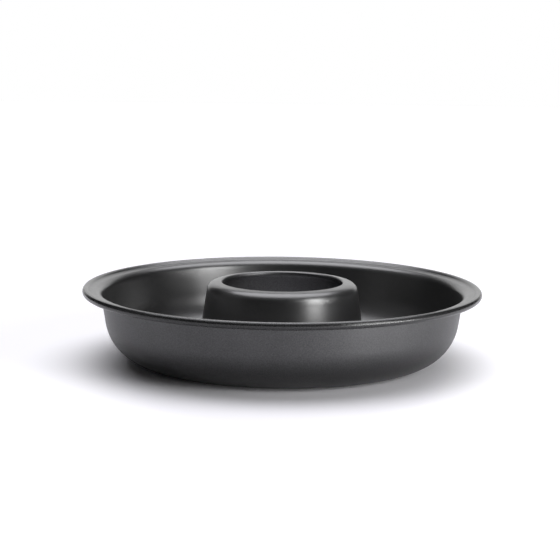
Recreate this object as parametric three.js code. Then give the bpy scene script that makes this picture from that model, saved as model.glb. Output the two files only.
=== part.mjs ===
// Savarin mould: a ring-shaped cake mould of coated steel sheet.
// A drawn pan and a drawn centre tube are joined by a hemmed seam, and the pan's rim is curled round a wire.
// Millimetres, +Z up. The origin is the centre of the base, on the surface that the mould stands on.

import * as THREE from 'three';

// Sheet and wire
const SHEET = 0.6;                 // thickness of the coated steel sheet
const SEAT_GAP = 0.3;              // clearance between pieces that are folded or curled together
const WIRE_DIAMETER = 2.6;         // rim wire

// Pan
const RIM_DIAMETER = 240;          // outside of the curled rim
const RIM_HEIGHT = 45;             // base to the top of the curl
const CURL_RISE = 1.6;             // how far the curl stands above the flange
const CURL_TURN = 245;             // degrees that the curl is rolled on past its top
const CURL_THROAT_RADIUS = 2;      // hollow bend from the flange up into the curl
const FLANGE_WIDTH = 10.7;         // from the line of the outer wall to the outside of the curl
const WALL_DRAFT = 9;              // degrees that the outer wall leans out
const FLANGE_BEND_RADIUS = 4.1;    // underside bend between wall and flange
const BASE_RADIUS = 28.3;          // outside bend between base and outer wall

// Centre tube
const TUBE_HEIGHT = 48.2;          // base to the top of the lip
const TUBE_FOOT_DIAMETER = 103.8;  // outside of the cone, drawn on down to the base
const TUBE_DRAFT = 8.5;            // degrees that the cone leans in
const SHOULDER_RADIUS = 5.4;       // outside bend between cone and top ring
const TOP_RING_SLOPE = 8;          // degrees that the top ring falls outward
const MOUTH_DIAMETER = 72.4;       // clear opening inside the lip
const LIP_RADIUS = 1.3;            // outside bend between top ring and lip
const LIP_DEPTH = 2.4;             // height of the turned-down lip

// Hemmed seam between pan and tube, inside the foot of the tube
const FOOT_RADIUS = 14;            // trough-side bend between floor and neck
const SEAM_HEIGHT = 14;            // base to the middle of the pan's inner flange
const SEAM_FLANGE = 4;             // how far the pan's inner flange reaches in from the neck
const SEAM_BEND_RADIUS = 0.2;      // inside bends at the seam
const HEM_RETURN = 2.4;            // how far the hem runs back under the pan's flange

// Fineness of the faceted surfaces
const TURN_SEGMENTS = 56;          // facets round the axis
const WIRE_SIDES = 8;              // facets round the wire's section
const LARGE_ARC_STEP = 14;         // degrees of bend for each facet of a wide bend
const SMALL_ARC_STEP = 30;         // degrees of bend for each facet of a tight bend
const TIGHT_RADIUS = 4.5;          // bends up to this radius count as tight

const HALF_SHEET = SHEET / 2;

// A profile is a walk along the middle of the sheet in the half plane (r, z).
// Each station is a point on it with the unit normal to the left of the walk.

function direction(from, to) {
  return to.clone().sub(from).normalize();
}

function leftOf(vector) {
  return new THREE.Vector2(-vector.y, vector.x);
}

function station(point, normal) {
  return { point, normal };
}

// Stations along an arc that starts at startAngle and sweeps through turn, both in radians.
function arcStations(centre, radius, startAngle, turn) {
  const stepDegrees = radius > TIGHT_RADIUS ? LARGE_ARC_STEP : SMALL_ARC_STEP;
  const steps = Math.max(1, Math.ceil(Math.abs(turn) / THREE.MathUtils.degToRad(stepDegrees)));
  const inwards = Math.sign(turn);
  const stations = [];
  for (let i = 0; i <= steps; i++) {
    const angle = startAngle + turn * i / steps;
    const outward = new THREE.Vector2(Math.cos(angle), Math.sin(angle));
    const point = centre.clone().addScaledVector(outward, radius);
    stations.push(station(point, outward.clone().multiplyScalar(-inwards)));
  }
  return stations;
}

// Stations of a bend of the given radius at a corner between two straight runs.
function bendStations(before, corner, after, radius) {
  const into = direction(before, corner);
  const outOf = direction(corner, after);
  const turn = Math.atan2(into.cross(outOf), into.dot(outOf));
  const setback = radius * Math.tan(Math.abs(turn) / 2);
  const side = Math.sign(turn);
  const start = corner.clone().addScaledVector(into, -setback);
  const centre = start.clone().addScaledVector(leftOf(into), side * radius);
  const startAngle = Math.atan2(start.y - centre.y, start.x - centre.x);
  return arcStations(centre, radius, startAngle, turn);
}

// Stations of straight runs through corners given as [r, z, bend radius]. The two ends have no radius.
function bentStations(corners) {
  const points = corners.map(([r, z]) => new THREE.Vector2(r, z));
  const last = points.length - 1;
  const stations = [station(points[0], leftOf(direction(points[0], points[1])))];
  for (let i = 1; i < last; i++) {
    stations.push(...bendStations(points[i - 1], points[i], points[i + 1], corners[i][2]));
  }
  stations.push(station(points[last], leftOf(direction(points[last - 1], points[last]))));
  return stations;
}

// Closed outline of sheet of even thickness along the walk.
function sheetOutline(stations) {
  const offset = (side) => stations.map((s) => s.point.clone().addScaledVector(s.normal, side * HALF_SHEET));
  return [...offset(1), ...offset(-1).reverse()];
}

// Solid ring made by turning a closed outline in (r, z) about the Z axis.
function turnedRing(outline) {
  const anticlockwise = THREE.ShapeUtils.isClockWise(outline) ? outline.slice().reverse() : outline;
  const closed = [...anticlockwise, anticlockwise[0].clone()];
  const geometry = new THREE.LatheGeometry(closed, TURN_SEGMENTS);
  geometry.rotateX(Math.PI / 2);
  return geometry;
}

function piece(name, geometry, material) {
  const mesh = new THREE.Mesh(geometry, material);
  mesh.name = name;
  return mesh;
}

// Values that pan, tube and wire share
const wallLean = Math.tan(THREE.MathUtils.degToRad(WALL_DRAFT));
const tubeLean = Math.tan(THREE.MathUtils.degToRad(TUBE_DRAFT));
const curlRadius = WIRE_DIAMETER / 2 + SEAT_GAP + HALF_SHEET;
const curlCentre = new THREE.Vector2(
  RIM_DIAMETER / 2 - HALF_SHEET - curlRadius,
  RIM_HEIGHT - HALF_SHEET - curlRadius,
);
const flangeHeight = RIM_HEIGHT - CURL_RISE - HALF_SHEET;
const layerPitch = SHEET + SEAT_GAP;

// Radius of the middle of the tube's sheet, and of the neck that carries it on, at height z.
function coneRadius(z) {
  const acrossSheet = HALF_SHEET / Math.cos(THREE.MathUtils.degToRad(TUBE_DRAFT));
  return TUBE_FOOT_DIAMETER / 2 - acrossSheet - z * tubeLean;
}

// Radius of the middle of the outer wall's sheet at height z.
function wallRadius(z) {
  const acrossSheet = HALF_SHEET / Math.cos(THREE.MathUtils.degToRad(WALL_DRAFT));
  const outside = RIM_DIAMETER / 2 - FLANGE_WIDTH - (RIM_HEIGHT - CURL_RISE - z) * wallLean;
  return outside - acrossSheet;
}

// Inner edge of the pan's seam flange, which the tube's hem wraps.
const seamEdgeRadius = coneRadius(SEAM_HEIGHT) - SEAM_FLANGE;

// Rim: a hollow bend lifts the sheet off the flange, then the curl rolls out, down and back round the wire.
function rimStations() {
  const lift = Math.acos(1 - CURL_RISE / (CURL_THROAT_RADIUS + curlRadius));
  const throatCentre = new THREE.Vector2(
    curlCentre.x - (CURL_THROAT_RADIUS + curlRadius) * Math.sin(lift),
    flangeHeight + CURL_THROAT_RADIUS,
  );
  const throat = arcStations(throatCentre, CURL_THROAT_RADIUS, -Math.PI / 2, lift);
  const roll = -lift - THREE.MathUtils.degToRad(CURL_TURN);
  const curl = arcStations(curlCentre, curlRadius, Math.PI / 2 + lift, roll);
  return [...throat, ...curl.slice(1)];
}

// Pan: seam flange, neck, floor, outer wall, rim flange and curl, in one walk from the seam to the rim.
function makePan() {
  const rim = rimStations();
  const floor = HALF_SHEET;
  const body = bentStations([
    [seamEdgeRadius, SEAM_HEIGHT],
    [coneRadius(SEAM_HEIGHT), SEAM_HEIGHT, SEAM_BEND_RADIUS + HALF_SHEET],
    [coneRadius(floor), floor, FOOT_RADIUS + HALF_SHEET],
    [wallRadius(floor), floor, BASE_RADIUS - HALF_SHEET],
    [wallRadius(flangeHeight), flangeHeight, FLANGE_BEND_RADIUS + HALF_SHEET],
    rim[0].point.toArray(),
  ]);
  const coating = new THREE.MeshStandardMaterial({ color: 0x3c3d40, roughness: 0.42, metalness: 0.55 });
  return piece('pan', turnedRing(sheetOutline([...body.slice(0, -1), ...rim])), coating);
}

// Corner where the line of the top ring meets the line of the cone.
function shoulderCorner(lipRadius, ringCorner, slope) {
  const fall = Math.tan(slope);
  const z = (ringCorner - fall * (coneRadius(0) - lipRadius)) / (1 - fall * tubeLean);
  return new THREE.Vector2(coneRadius(z), z);
}

// Centre tube: lip, top ring, shoulder and cone, then the hem folded round the pan's seam flange.
function makeCentreTube() {
  const lipRadius = MOUTH_DIAMETER / 2 + HALF_SHEET;
  const slope = THREE.MathUtils.degToRad(TOP_RING_SLOPE);
  const bend = LIP_RADIUS - HALF_SHEET;
  // The bend that rounds off this corner tops out at the height of the tube.
  const ringCorner = TUBE_HEIGHT - LIP_RADIUS + bend * Math.tan((Math.PI / 2 + slope) / 2);
  const shoulder = shoulderCorner(lipRadius, ringCorner, slope);
  const upperLeg = SEAM_HEIGHT + layerPitch;
  const stations = bentStations([
    [lipRadius, TUBE_HEIGHT - LIP_DEPTH],
    [lipRadius, ringCorner, bend],
    [shoulder.x, shoulder.y, SHOULDER_RADIUS - HALF_SHEET],
    [coneRadius(upperLeg), upperLeg, SEAM_BEND_RADIUS + HALF_SHEET],
    [seamEdgeRadius, upperLeg],
  ]);
  const fold = arcStations(new THREE.Vector2(seamEdgeRadius, SEAM_HEIGHT), layerPitch, Math.PI / 2, Math.PI);
  const hemEnd = station(
    new THREE.Vector2(seamEdgeRadius + HEM_RETURN, SEAM_HEIGHT - layerPitch),
    fold[fold.length - 1].normal,
  );
  const coating = new THREE.MeshStandardMaterial({ color: 0x2e2f32, roughness: 0.34, metalness: 0.55 });
  return piece('centre_tube', turnedRing(sheetOutline([...stations.slice(0, -1), ...fold, hemEnd])), coating);
}

// Rim wire: a closed ring of round wire in the middle of the curl.
function makeRimWire() {
  const outline = [];
  for (let i = 0; i < WIRE_SIDES; i++) {
    const angle = 2 * Math.PI * i / WIRE_SIDES;
    const spoke = new THREE.Vector2(Math.cos(angle), Math.sin(angle));
    outline.push(curlCentre.clone().addScaledVector(spoke, WIRE_DIAMETER / 2));
  }
  const steel = new THREE.MeshStandardMaterial({ color: 0x8a8b8d, roughness: 0.35, metalness: 1 });
  return piece('rim_wire', turnedRing(outline), steel);
}

const savarinMould = new THREE.Group();
savarinMould.add(makePan(), makeCentreTube(), makeRimWire());

export default savarinMould;
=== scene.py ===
"""Savarin mould of dark non-stick steel, standing on a plain white studio floor."""

import math

import bpy
from mathutils import Matrix, Vector


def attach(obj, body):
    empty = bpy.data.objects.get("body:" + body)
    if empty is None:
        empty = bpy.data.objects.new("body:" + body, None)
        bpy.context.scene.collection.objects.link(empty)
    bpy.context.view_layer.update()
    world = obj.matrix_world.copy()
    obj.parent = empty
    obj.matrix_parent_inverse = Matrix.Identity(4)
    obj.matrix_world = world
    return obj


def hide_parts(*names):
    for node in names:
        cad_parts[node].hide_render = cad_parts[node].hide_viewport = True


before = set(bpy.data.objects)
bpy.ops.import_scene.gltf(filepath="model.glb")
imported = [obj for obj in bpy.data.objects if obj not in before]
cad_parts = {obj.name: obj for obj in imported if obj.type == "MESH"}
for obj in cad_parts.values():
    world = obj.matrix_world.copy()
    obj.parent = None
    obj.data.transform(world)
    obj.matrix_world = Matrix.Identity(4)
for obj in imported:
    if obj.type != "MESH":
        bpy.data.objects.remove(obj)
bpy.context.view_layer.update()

MM = 0.001
BODY = "root"

# Sheet and wire, in millimetres
SHEET = 0.6
HALF_SHEET = SHEET / 2
SEAT_GAP = 0.3
WIRE_DIAMETER = 2.6

# Pan, in millimetres and degrees
RIM_DIAMETER = 240
RIM_HEIGHT = 45
CURL_RISE = 1.6
CURL_TURN = 245
CURL_THROAT_RADIUS = 2
FLANGE_WIDTH = 10.7
WALL_DRAFT = 9
FLANGE_BEND_RADIUS = 4.1
BASE_RADIUS = 28.3

# Centre tube, in millimetres and degrees
TUBE_HEIGHT = 48.2
TUBE_FOOT_DIAMETER = 103.8
TUBE_DRAFT = 8.5
SHOULDER_RADIUS = 5.4
TOP_RING_SLOPE = 8
MOUTH_DIAMETER = 72.4
LIP_RADIUS = 1.3
LIP_DEPTH = 2.4

# Hemmed seam between pan and tube, in millimetres
FOOT_RADIUS = 14
SEAM_HEIGHT = 14
SEAM_FLANGE = 4
SEAM_BEND_RADIUS = 0.2
HEM_RETURN = 2.4

# Lines where one finish meets the next
SHADED_BEAD_COAT_ANGLE = 66  # degrees up the outer face of the bead, below which a darker, less reflective copy of the inside coating paints shade
LIP_COAT_DEPTH = 0.52  # millimetres under the top of the lip, where the inside coating ends

# Sides of the sheet, used as material slots
TROUGH_SIDE, UNDER_SIDE, CUT_EDGE, SHADED_BEAD_SIDE = range(4)

# Fineness of the turned meshes, in millimetres and degrees
TURN_SEGMENTS = 192
WIRE_SIDES = 16
ARC_STEP = 0.6  # length of a facet on a bend, as far as the two turns below allow it
WIDEST_TURN = 7
FINEST_TURN = 3.5
FEWEST_STEPS = 2
RUN_STEP = 1.5  # length of a facet on a straight run
EDGE_STEPS = 4
SAME_PLACE = 0.006  # points closer than this count as one

# Camera that matches the photograph, in pixels, millimetres of sensor, metres and degrees
PHOTO_SIZE = 560
RIM_CENTRE_PIXEL = (282.2, 290)
FOCAL_PIXELS = 1990
SENSOR_WIDTH = 36
CAMERA_DISTANCE = 1.2
CAMERA_ELEVATION = 9.71
CAMERA_ROLL = 0.67

# Grain of the coatings: noise scales in cells for each metre, depth in metres
CLOUD_SCALE = 40
CLOUD_DETAIL = 3
CLOUD_SHIFT = 0.15  # how far the clouds shift the tone of the specks
SPECK_SCALE = 1500
SPECK_DETAIL = 1
SPECK_SPAN = (0.3, 0.7)  # stretch of the noise over which the tone goes from dark to pale
SKIN_SCALE = 700
SKIN_DETAIL = 2
SKIN_DEPTH = 0.0001
COAT_ROUGHNESS = 0.2
BRUSHING_TURN = 0.25  # quarter of a turn, so that highlights stretch across the brushing
GREY_BLUE = 1.02  # blue as a share of red and green, which makes the greys very slightly cool

# Grain of the bare steel
STEEL_SCALE = 900
STEEL_DETAIL = 3
STEEL_SPAN = (0.35, 0.65)
STEEL_DARK_SHARE = 0.8
STEEL_ROUGHNESS_SPREAD = 0.08

# Studio, in metres and degrees
FLOOR_SIZE = 20
FLOOR_DROP = 0.0001
FLOOR_COLOUR = (0.945, 0.938, 0.965)
BACKDROP_DISTANCE = 2
BACKDROP_WIDTH = 2.2
BACKDROP_HEIGHT = 1.3
TOP_LIGHT_COLOUR = (1, 0.997, 1.035)
WORLD_COLOUR = (0.005, 0.005, 0.005, 1)

# White glow of the floor: painted light that lightens the shadow beside the mould, a painted pool of the
# key light, both also seen in the mould's reflections, and an even white far off. For each, the distance
# where it starts, the distance where it is full, and its level
# Painted light that lifts the floor's shadow beside the mould
PAINTED_LIGHT_BESIDE_MOULD = (0.085, 0.13, 0.18)
# Painted pool of the key light on the floor, which the outer wall also reflects
PAINTED_KEY_POOL = (0.14, 0.24, 1)
FAR_GLOW = (0.2, 1.2, 1)
GLOW_OVAL = (1, 0.55, 0)  # shares of the way sideways, backwards and up that count as distance
PAINTED_KEY_POOL_AZIMUTH = 47  # degrees from the camera's side towards the picture's right


def unit(vector):
    return vector / vector.length


def left_of(vector):
    return Vector((-vector.y, vector.x))


def arc_stations(centre, radius, start, turn):
    """Points with their left-hand normals along an arc, for a walk that turns through turn radians."""
    degrees = math.degrees(abs(turn))
    by_length = math.ceil(min(abs(turn) * radius / ARC_STEP, degrees / FINEST_TURN))
    by_turn = math.ceil(degrees / WIDEST_TURN)
    steps = max(FEWEST_STEPS, by_length, by_turn)
    inward = -math.copysign(1, turn)
    stations = []
    for i in range(steps + 1):
        angle = start + turn * i / steps
        outward = Vector((math.cos(angle), math.sin(angle)))
        stations.append((centre + outward * radius, outward * inward))
    return stations


def run_stations(start, end):
    """Evenly spaced points between two points, without the end points."""
    along = end - start
    steps = max(1, math.ceil(along.length / RUN_STEP))
    normal = left_of(unit(along))
    return [(start + along * i / steps, normal) for i in range(1, steps)]


def bend_stations(before, corner, after, radius):
    """A bend of the given radius at a corner between two straight runs."""
    into = unit(corner - before)
    out_of = unit(after - corner)
    turn = math.atan2(into.x * out_of.y - into.y * out_of.x, into.dot(out_of))
    start = corner - into * radius * math.tan(abs(turn) / 2)
    centre = start + left_of(into) * math.copysign(radius, turn)
    spoke = start - centre
    return arc_stations(centre, radius, math.atan2(spoke.y, spoke.x), turn)


def joined(*stretches):
    """One walk made of several stretches, with the straight runs between them filled in."""
    walk = list(stretches[0])
    for stretch in stretches[1:]:
        walk += run_stations(walk[-1][0], stretch[0][0])
        same_place = (walk[-1][0] - stretch[0][0]).length < SAME_PLACE
        walk += stretch[1:] if same_place else stretch
    return walk


def bent_walk(corners):
    """A walk through corners given as (r, z, bend radius). The two ends have no radius."""
    points = [Vector(corner[:2]) for corner in corners]
    first = [(points[0], left_of(unit(points[1] - points[0])))]
    last = [(points[-1], left_of(unit(points[-1] - points[-2])))]
    bends = [
        bend_stations(points[i - 1], points[i], points[i + 1], corners[i][2])
        for i in range(1, len(points) - 1)
    ]
    return joined(first, *bends, last)


def edge_round(station, direction):
    """Half-round cut edge at an end of the sheet, from its left side to its right side."""
    point, normal = station
    rounded = []
    for i in range(1, EDGE_STEPS):
        angle = math.pi * i / EDGE_STEPS
        spoke = normal * math.cos(angle) + direction * math.sin(angle)
        rounded.append(point + spoke * HALF_SHEET)
    return rounded


def sheet_outline(walk):
    """Closed outline of the sheet as (point, side) pairs, each with the side of the edge that follows."""
    left = [point + normal * HALF_SHEET for point, normal in walk]
    right = [point - normal * HALF_SHEET for point, normal in reversed(walk)]
    end_cap = edge_round(walk[-1], -left_of(walk[-1][1]))
    start_cap = reversed(edge_round(walk[0], left_of(walk[0][1])))
    outline = [(point, TROUGH_SIDE) for point in left[:-1]]
    outline += [(point, CUT_EDGE) for point in [left[-1], *end_cap]]
    outline += [(point, UNDER_SIDE) for point in right[:-1]]
    outline += [(point, CUT_EDGE) for point in [right[-1], *start_cap]]
    return outline


def turned_piece(name, outline, materials):
    """Ring made by turning a closed outline about the Z axis."""
    count = len(outline)
    vertices = []
    faces = []
    sides = []
    for turn in range(TURN_SEGMENTS):
        angle = 2 * math.pi * turn / TURN_SEGMENTS
        across = Vector((math.cos(angle), math.sin(angle), 0))
        here = turn * count
        there = (turn + 1) % TURN_SEGMENTS * count
        for i, (point, side) in enumerate(outline):
            after = (i + 1) % count
            vertices.append(across * point.x * MM + Vector((0, 0, point.y * MM)))
            faces.append((here + i, here + after, there + after, there + i))
            sides.append(side)
    mesh = bpy.data.meshes.new(name)
    mesh.from_pydata(vertices, [], faces)
    for material in materials:
        mesh.materials.append(material)
    mesh.polygons.foreach_set("material_index", sides)
    mesh.polygons.foreach_set("use_smooth", [True] * len(faces))
    mesh.update()
    piece = bpy.data.objects.new(name, mesh)
    bpy.context.scene.collection.objects.link(piece)
    return piece


def stand_for(piece, node):
    """Let a finished piece stand in for a node of the CAD part."""
    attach(piece, BODY)
    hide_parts(node)


# Places that pan, tube and wire share
curl_radius = WIRE_DIAMETER / 2 + SEAT_GAP + HALF_SHEET
curl_centre = Vector((
    RIM_DIAMETER / 2 - HALF_SHEET - curl_radius,
    RIM_HEIGHT - HALF_SHEET - curl_radius,
))
flange_height = RIM_HEIGHT - CURL_RISE - HALF_SHEET
layer_pitch = SHEET + SEAT_GAP


def cone_radius(z):
    """Radius of the middle of the tube's sheet, and of the neck that carries it on, at height z."""
    draft = math.radians(TUBE_DRAFT)
    return TUBE_FOOT_DIAMETER / 2 - HALF_SHEET / math.cos(draft) - z * math.tan(draft)


def wall_radius(z):
    """Radius of the middle of the outer wall's sheet at height z."""
    draft = math.radians(WALL_DRAFT)
    outside = RIM_DIAMETER / 2 - FLANGE_WIDTH - (RIM_HEIGHT - CURL_RISE - z) * math.tan(draft)
    return outside - HALF_SHEET / math.cos(draft)


seam_edge_radius = cone_radius(SEAM_HEIGHT) - SEAM_FLANGE


def rim_walk():
    """Hollow bend up from the flange, then the curl rolled out, down and back round the wire."""
    reach = CURL_THROAT_RADIUS + curl_radius
    lift = math.acos(1 - CURL_RISE / reach)
    throat_centre = Vector((curl_centre.x - reach * math.sin(lift), flange_height + CURL_THROAT_RADIUS))
    throat = arc_stations(throat_centre, CURL_THROAT_RADIUS, -math.pi / 2, lift)
    curl = arc_stations(curl_centre, curl_radius, math.pi / 2 + lift, -lift - math.radians(CURL_TURN))
    return throat + curl[1:]


def with_shaded_bead(outline):
    """The same outline, with the outer face of the bead marked for a darker, less reflective copy of the
    inside coating that paints shade on it.
    """
    edge = curl_centre.y + (curl_radius + HALF_SHEET) * math.sin(math.radians(SHADED_BEAD_COAT_ANGLE))
    return [
        (point, SHADED_BEAD_SIDE if side == TROUGH_SIDE and point.x > curl_centre.x and point.y < edge else side)
        for point, side in outline
    ]


def make_pan(materials):
    """Seam flange, neck, floor, outer wall, rim flange and curl, in one walk from the seam to the rim."""
    rim = rim_walk()
    floor = HALF_SHEET
    body = bent_walk([
        (seam_edge_radius, SEAM_HEIGHT),
        (cone_radius(SEAM_HEIGHT), SEAM_HEIGHT, SEAM_BEND_RADIUS + HALF_SHEET),
        (cone_radius(floor), floor, FOOT_RADIUS + HALF_SHEET),
        (wall_radius(floor), floor, BASE_RADIUS - HALF_SHEET),
        (wall_radius(flange_height), flange_height, FLANGE_BEND_RADIUS + HALF_SHEET),
        tuple(rim[0][0]),
    ])
    return turned_piece("pan_shell", with_shaded_bead(sheet_outline(body[:-1] + rim)), materials)


def with_matt_lip(outline, lip_radius):
    """The same outline, with the lip's upright inner face given the material of the tube's hidden side, a
    brighter copy of the outside coating that paints light there.
    """
    edge = TUBE_HEIGHT - LIP_COAT_DEPTH
    return [
        (point, UNDER_SIDE if side == TROUGH_SIDE and point.x < lip_radius and point.y < edge else side)
        for point, side in outline
    ]


def make_tube(materials):
    """Lip, top ring, shoulder and cone, then the hem folded round the pan's seam flange."""
    lip_radius = MOUTH_DIAMETER / 2 + HALF_SHEET
    slope = math.radians(TOP_RING_SLOPE)
    bend = LIP_RADIUS - HALF_SHEET
    # The bend that rounds off this corner tops out at the height of the tube
    ring_corner = TUBE_HEIGHT - LIP_RADIUS + bend * math.tan((math.pi / 2 + slope) / 2)
    fall = math.tan(slope)
    lean = math.tan(math.radians(TUBE_DRAFT))
    # Height where the line of the top ring meets the line of the cone
    shoulder = (ring_corner - fall * (cone_radius(0) - lip_radius)) / (1 - fall * lean)
    upper_leg = SEAM_HEIGHT + layer_pitch
    body = bent_walk([
        (lip_radius, TUBE_HEIGHT - LIP_DEPTH),
        (lip_radius, ring_corner, bend),
        (cone_radius(shoulder), shoulder, SHOULDER_RADIUS - HALF_SHEET),
        (cone_radius(upper_leg), upper_leg, SEAM_BEND_RADIUS + HALF_SHEET),
        (seam_edge_radius, upper_leg),
    ])
    fold = arc_stations(Vector((seam_edge_radius, SEAM_HEIGHT)), layer_pitch, math.pi / 2, math.pi)
    hem_end = [(Vector((seam_edge_radius + HEM_RETURN, SEAM_HEIGHT - layer_pitch)), fold[-1][1])]
    outline = with_matt_lip(sheet_outline(joined(body[:-1], fold, hem_end)), lip_radius)
    return turned_piece("tube_shell", outline, materials)


def make_wire(material):
    """Closed ring of round wire in the middle of the curl."""
    outline = []
    for i in reversed(range(WIRE_SIDES)):
        angle = 2 * math.pi * i / WIRE_SIDES
        spoke = Vector((math.cos(angle), math.sin(angle)))
        outline.append((curl_centre + spoke * WIRE_DIAMETER / 2, TROUGH_SIDE))
    return turned_piece("rim_wire_ring", outline, [material])


def new_material(name):
    material = bpy.data.materials.new(name)
    material.use_nodes = True
    tree = material.node_tree
    return material, tree, tree.nodes["Principled BSDF"]


def object_position(tree):
    return tree.nodes.new("ShaderNodeTexCoord").outputs["Object"]


def noise(tree, position, scale, detail):
    node = tree.nodes.new("ShaderNodeTexNoise")
    node.inputs["Scale"].default_value = scale
    node.inputs["Detail"].default_value = detail
    tree.links.new(position, node.inputs["Vector"])
    return node.outputs["Fac"]


def shaded(tree, factor, span, dark, pale):
    """Slightly cool grey that goes from dark to pale while the factor passes through the span."""
    node = tree.nodes.new("ShaderNodeValToRGB")
    for element, place, value in zip(node.color_ramp.elements, span, (dark, pale)):
        element.position = place
        element.color = (value, value, value * GREY_BLUE, 1)
    tree.links.new(factor, node.inputs["Fac"])
    return node.outputs["Color"]


def ranged(tree, value, low, high, start=0, end=1, interpolation="LINEAR"):
    """A value from start to end, spread over low to high and held at both ends."""
    node = tree.nodes.new("ShaderNodeMapRange")
    node.interpolation_type = interpolation
    node.inputs["From Min"].default_value = start
    node.inputs["From Max"].default_value = end
    node.inputs["To Min"].default_value = low
    node.inputs["To Max"].default_value = high
    tree.links.new(value, node.inputs["Value"])
    return node.outputs["Result"]


def smooth_rise(tree, distance, start, end, level):
    """Zero up to start, then a smooth rise to level at end."""
    return ranged(tree, distance, 0, level, start, end, "SMOOTHSTEP")


def bump(tree, height, strength, depth):
    node = tree.nodes.new("ShaderNodeBump")
    node.inputs["Strength"].default_value = strength
    node.inputs["Distance"].default_value = depth
    tree.links.new(height, node.inputs["Height"])
    return node.outputs["Normal"]


def combined(tree, operation, first, second):
    node = tree.nodes.new("ShaderNodeMath")
    node.operation = operation
    tree.links.new(first, node.inputs[0])
    tree.links.new(second, node.inputs[1])
    return node.outputs["Value"]


def vector_math(tree, operation, vector, other=(0, 0, 0)):
    """A product as a vector, or a length or dot product as a number."""
    node = tree.nodes.new("ShaderNodeVectorMath")
    node.operation = operation
    node.inputs[1].default_value = other
    tree.links.new(vector, node.inputs[0])
    return node.outputs["Vector" if operation == "MULTIPLY" else "Value"]


def round_the_axis(tree):
    node = tree.nodes.new("ShaderNodeTangent")
    node.direction_type = "RADIAL"
    node.axis = "Z"
    return node.outputs["Tangent"]


def coating(name, dark, pale, roughness, ior, peel, metal=0, brushing=0, gloss=0, flatness=1):
    """Sprayed non-stick coating: cloudy tone, pigment specks and an orange-peel skin of flattened cells."""
    material, tree, shader = new_material(name)
    position = object_position(tree)
    clouds = noise(tree, position, CLOUD_SCALE, CLOUD_DETAIL)
    specks = noise(tree, position, SPECK_SCALE, SPECK_DETAIL)
    flattened = vector_math(tree, "MULTIPLY", position, (1, 1, flatness))
    skin = noise(tree, flattened, SKIN_SCALE / flatness, SKIN_DETAIL)
    tone = combined(tree, "ADD", ranged(tree, clouds, -CLOUD_SHIFT, CLOUD_SHIFT), specks)
    tree.links.new(shaded(tree, tone, SPECK_SPAN, dark, pale), shader.inputs["Base Color"])
    tree.links.new(ranged(tree, skin, *roughness), shader.inputs["Roughness"])
    tree.links.new(bump(tree, skin, peel, SKIN_DEPTH), shader.inputs["Normal"])
    tree.links.new(round_the_axis(tree), shader.inputs["Tangent"])
    shader.inputs["Metallic"].default_value = metal
    shader.inputs["IOR"].default_value = ior
    shader.inputs["Coat Weight"].default_value = gloss
    shader.inputs["Coat Roughness"].default_value = COAT_ROUGHNESS
    shader.inputs["Anisotropic"].default_value = brushing
    shader.inputs["Anisotropic Rotation"].default_value = BRUSHING_TURN
    return material


def inside_coating():
    """Dark satin coating with a thin glossy film, on the trough, the rim flange and the tube."""
    return coating(
        "inside_coating",
        dark=0.0125,
        pale=0.021,
        roughness=(0.31, 0.41),
        ior=2.12,
        peel=0.04,
        brushing=0.3,
        gloss=0.3,
        flatness=4,
    )


def shaded_bead_coating():
    """Darker, smoother and less reflective copy of the inside coating on the outer face of the bead:
    painted shade.
    """
    return coating(
        "shaded_bead_coating",
        dark=0.01,
        pale=0.017,
        roughness=(0.23, 0.29),
        ior=1.46,
        peel=0.1,
        brushing=0.1,
    )


def matt_coating(name, dark, pale):
    """Matt coating with a metallic sheen, for the sides of the sheet that touch no cake."""
    return coating(name, dark, pale, roughness=(0.41, 0.47), ior=1.5, peel=0.1, metal=0.95)


def bare_steel(name, shade, roughness):
    """Steel without a coating, with a fine grain in tone and roughness."""
    material, tree, shader = new_material(name)
    grain = noise(tree, object_position(tree), STEEL_SCALE, STEEL_DETAIL)
    tone = shaded(tree, grain, STEEL_SPAN, shade * STEEL_DARK_SHARE, shade)
    smoothest = roughness - STEEL_ROUGHNESS_SPREAD
    roughest = roughness + STEEL_ROUGHNESS_SPREAD
    tree.links.new(tone, shader.inputs["Base Color"])
    tree.links.new(ranged(tree, grain, smoothest, roughest), shader.inputs["Roughness"])
    shader.inputs["Metallic"].default_value = 1
    return material


def seen_directly(tree):
    """One for the camera's rays and for those of reflections and transmission, zero for the rest."""
    path = tree.nodes.new("ShaderNodeLightPath")
    seen = path.outputs["Is Camera Ray"]
    for ray in ("Is Glossy Ray", "Is Transmission Ray"):
        seen = combined(tree, "MAXIMUM", seen, path.outputs[ray])
    return seen


def stage_material(name, colour):
    """Matt stage surface that can be lifted to white."""
    material, tree, shader = new_material(name)
    shader.inputs["Base Color"].default_value = (*colour, 1)
    shader.inputs["Roughness"].default_value = 1
    shader.inputs["Specular IOR Level"].default_value = 0
    shader.inputs["Emission Color"].default_value = (1, 1, 1, 1)
    return material, tree, shader


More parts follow.
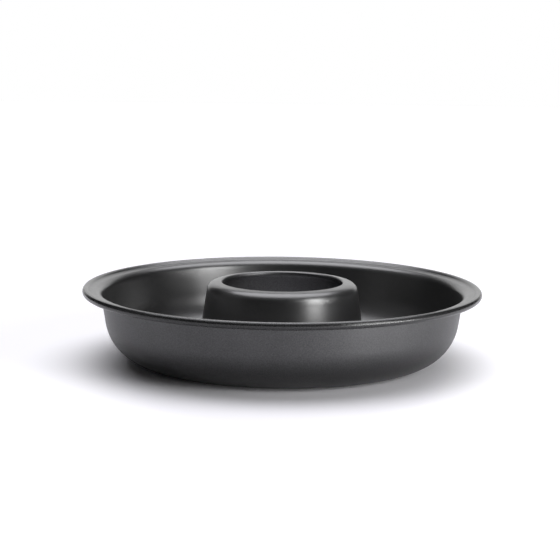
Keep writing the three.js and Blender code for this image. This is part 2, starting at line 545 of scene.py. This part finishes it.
def floor_paper():
    """White floor that keeps the shadow, with painted light beside the mould, a painted pool of the key
    light and an even white far off.
    """
    material, tree, shader = stage_material("studio_floor", FLOOR_COLOUR)
    place = object_position(tree)
    beside = vector_math(tree, "LENGTH", vector_math(tree, "MULTIPLY", place, GLOW_OVAL))
    turn = math.radians(PAINTED_KEY_POOL_AZIMUTH)
    reach_of_painted_key_pool = vector_math(tree, "DOT_PRODUCT", place, (math.sin(turn), -math.cos(turn), 0))
    # Painted light: the floor glows beside the mould and towards the key light, for the camera and in
    # reflections
    glow = smooth_rise(tree, beside, *PAINTED_LIGHT_BESIDE_MOULD)
    glow = combined(tree, "MAXIMUM", glow, smooth_rise(tree, reach_of_painted_key_pool, *PAINTED_KEY_POOL))
    glow = combined(tree, "MAXIMUM", glow, smooth_rise(tree, beside, *FAR_GLOW))
    strength = combined(tree, "MULTIPLY", seen_directly(tree), glow)
    tree.links.new(strength, shader.inputs["Emission Strength"])
    return material


def backdrop_paper():
    """Backdrop that looks white and throws no light on the mould's matt surfaces."""
    material, tree, shader = stage_material("studio_backdrop", (0, 0, 0))
    tree.links.new(seen_directly(tree), shader.inputs["Emission Strength"])
    return material


def stage_plane(name, corners, material):
    mesh = bpy.data.meshes.new(name)
    mesh.from_pydata(corners, [], [(0, 1, 2, 3)])
    mesh.materials.append(material)
    plane = bpy.data.objects.new(name, mesh)
    bpy.context.scene.collection.objects.link(plane)


def make_stage():
    half = FLOOR_SIZE / 2
    side = BACKDROP_WIDTH / 2
    stage_plane("floor", [
        (-half, -half, -FLOOR_DROP),
        (half, -half, -FLOOR_DROP),
        (half, half, -FLOOR_DROP),
        (-half, half, -FLOOR_DROP),
    ], floor_paper())
    stage_plane("backdrop", [
        (-side, BACKDROP_DISTANCE, -FLOOR_DROP),
        (side, BACKDROP_DISTANCE, -FLOOR_DROP),
        (side, BACKDROP_DISTANCE, BACKDROP_HEIGHT),
        (-side, BACKDROP_DISTANCE, BACKDROP_HEIGHT),
    ], backdrop_paper())


def softbox(name, shape, azimuth, elevation, distance, width, height, radiance, colour=(1, 1, 1)):
    """Area lamp that faces the mould. Azimuth turns from the camera's side towards the picture's right."""
    turn = math.radians(azimuth)
    rise = math.radians(elevation)
    away = Vector((math.sin(turn) * math.cos(rise), -math.cos(turn) * math.cos(rise), math.sin(rise)))
    lamp = bpy.data.lights.new(name, "AREA")
    lamp.shape = shape
    lamp.color = colour
    lamp.size = width
    lamp.size_y = height
    fill = math.pi / 4 if shape == "ELLIPSE" else 1
    lamp.energy = radiance * math.pi * width * height * fill
    holder = bpy.data.objects.new(name, lamp)
    holder.location = away * distance
    holder.rotation_euler = away.to_track_quat("Z", "Y").to_euler()
    holder.visible_camera = False
    bpy.context.scene.collection.objects.link(holder)


def make_lights():
    softbox(
        "top_softbox", "ELLIPSE", azimuth=180, elevation=79, distance=3.1,
        width=5, height=3.75, radiance=2.6, colour=TOP_LIGHT_COLOUR,
    )
    softbox(
        "key_softbox", "RECTANGLE", azimuth=50, elevation=21.5, distance=0.8,
        width=0.32, height=0.41, radiance=6.9,
    )
    softbox(
        "low_softbox", "RECTANGLE", azimuth=56, elevation=3.25, distance=0.8,
        width=0.52, height=0.077, radiance=30,
    )
    softbox(
        "right_softbox", "RECTANGLE", azimuth=76, elevation=18.5, distance=0.8,
        width=0.38, height=0.33, radiance=0.35,
    )
    softbox(
        "left_softbox", "RECTANGLE", azimuth=-85, elevation=22, distance=1.4,
        width=1.2, height=0.9, radiance=0.12,
    )
    world = bpy.data.worlds.new("studio")
    world.use_nodes = True
    world.node_tree.nodes["Background"].inputs["Color"].default_value = WORLD_COLOUR
    bpy.context.scene.world = world


def rotation(angle, axis):
    return Matrix.Rotation(angle, 4, axis)


def make_camera():
    """Camera at the photograph's angle, turned so that the rim's centre falls on its own pixel."""
    target = Vector((0, 0, curl_centre.y * MM))
    rise = math.radians(CAMERA_ELEVATION)
    away = Vector((0, -math.cos(rise), math.sin(rise)))
    data = bpy.data.cameras.new("camera")
    data.sensor_width = SENSOR_WIDTH
    data.lens = FOCAL_PIXELS / PHOTO_SIZE * SENSOR_WIDTH
    camera = bpy.data.objects.new("camera", data)
    right_of_middle = (RIM_CENTRE_PIXEL[0] - PHOTO_SIZE / 2) / FOCAL_PIXELS
    under_middle = (RIM_CENTRE_PIXEL[1] - PHOTO_SIZE / 2) / FOCAL_PIXELS
    facing = away.to_track_quat("Z", "Y").to_matrix().to_4x4()
    roll = rotation(math.radians(CAMERA_ROLL), "Z")
    aim = rotation(under_middle, "X") @ rotation(right_of_middle, "Y")
    camera.matrix_world = Matrix.Translation(target + away * CAMERA_DISTANCE) @ facing @ roll @ aim
    bpy.context.scene.collection.objects.link(camera)
    bpy.context.scene.camera = camera


inside = inside_coating()
# Painted shade: a darker, less reflective copy of the inside coating for the bead's outer face
bead = shaded_bead_coating()
outside = matt_coating("outside_coating", dark=0.066, pale=0.091)
# A brighter copy of the outside coating: painted light in the tube's hollow and on the lip's upright inner
# face
tube_hollow_painted_light = matt_coating("tube_hollow_painted_light_coating", dark=0.106, pale=0.146)
cut_edge = bare_steel("cut_edge", shade=0.12, roughness=0.45)
wire_steel = bare_steel("wire_steel", shade=0.5, roughness=0.35)

stand_for(make_pan([inside, outside, cut_edge, bead]), "pan")
stand_for(make_tube([inside, tube_hollow_painted_light, cut_edge]), "centre_tube")
stand_for(make_wire(wire_steel), "rim_wire")

make_stage()
make_lights()
make_camera()
bpy.context.scene.view_settings.view_transform = "Standard"
